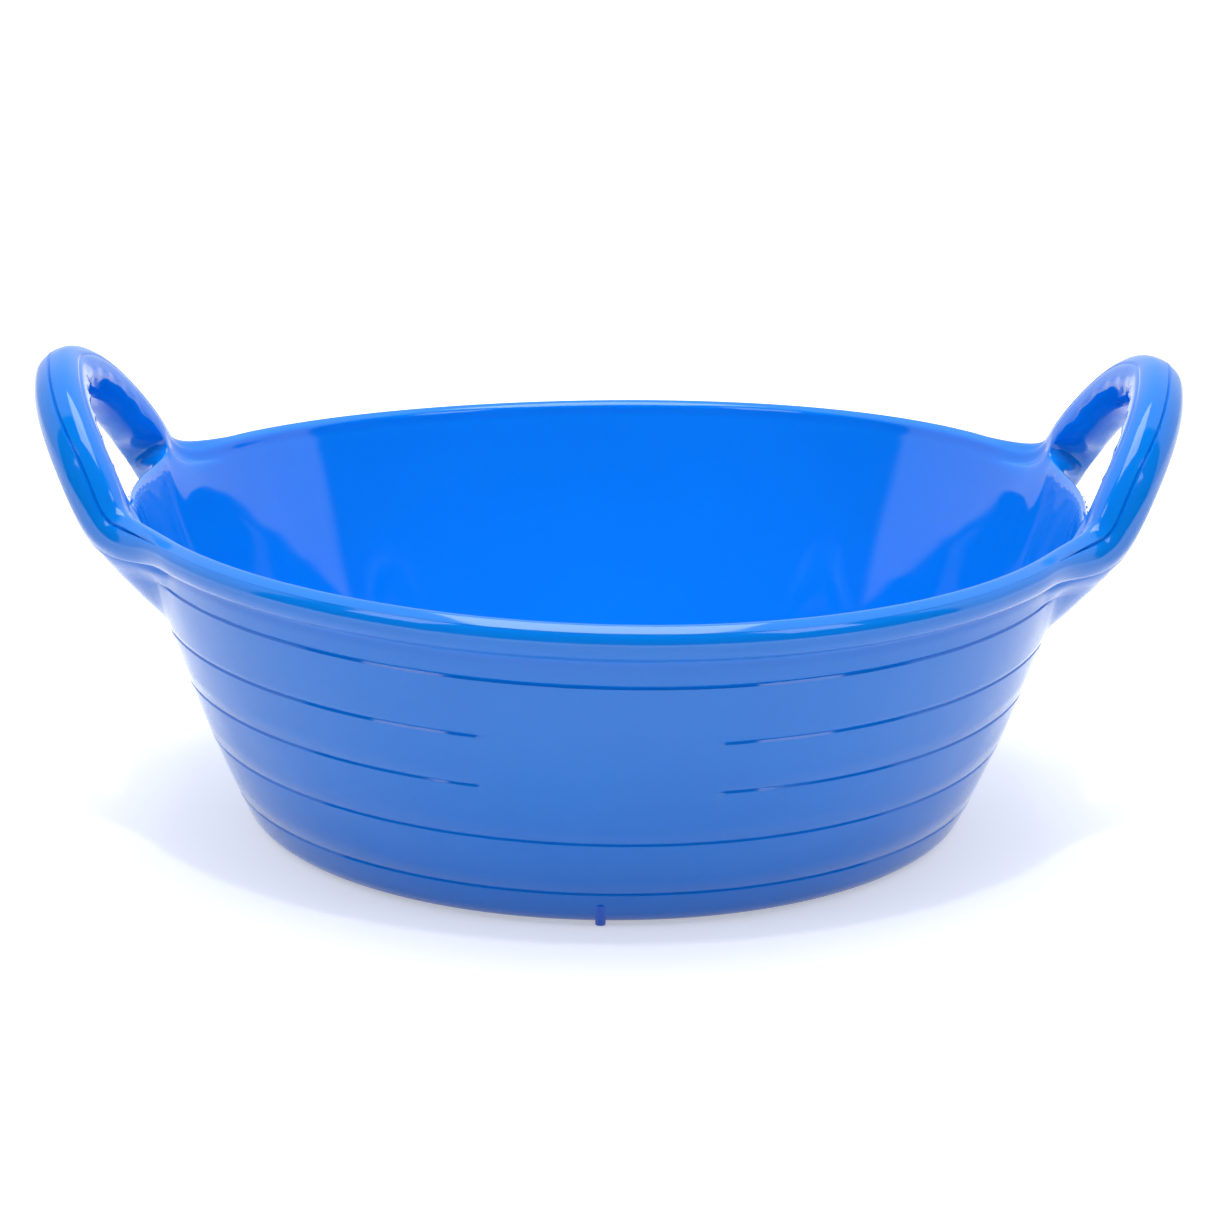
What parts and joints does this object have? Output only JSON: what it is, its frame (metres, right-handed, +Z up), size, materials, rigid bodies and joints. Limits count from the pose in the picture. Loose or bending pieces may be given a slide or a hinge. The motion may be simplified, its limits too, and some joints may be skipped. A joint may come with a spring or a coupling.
{
  "type": "feed tub",
  "caption": "Shallow round feed tub with a flared ringed wall, a rolled rim and a raised loop handle at each side, moulded in glossy blue plastic.",
  "frame": {"origin": "centre of the footprint, on the floor that the tub stands on", "axes": "+Z up out of the tub, X through the two handles, the bare front panel and the small base lug towards -Y"},
  "size_m": [0.5144, 0.44, 0.2104],
  "materials": {
    "blue_polyethylene": "glossy moulded polyethylene"
  },
  "bodies": {
    "root": {"floor_panel": "blue_polyethylene", "base_corner": "blue_polyethylene", "base_lug_front": "blue_polyethylene", "wall_shell": "blue_polyethylene", "rim_bead_front": "blue_polyethylene", "rim_bead_rear": "blue_polyethylene", "hand_hole_lip_left": "blue_polyethylene", "hand_hole_lip_right": "blue_polyethylene", "handle_root_left_front": "blue_polyethylene", "handle_root_left_rear": "blue_polyethylene", "handle_root_right_front": "blue_polyethylene", "handle_root_right_rear": "blue_polyethylene", "handle_grip_left": "blue_polyethylene", "handle_grip_right": "blue_polyethylene"}
  },
  "joints": []
}
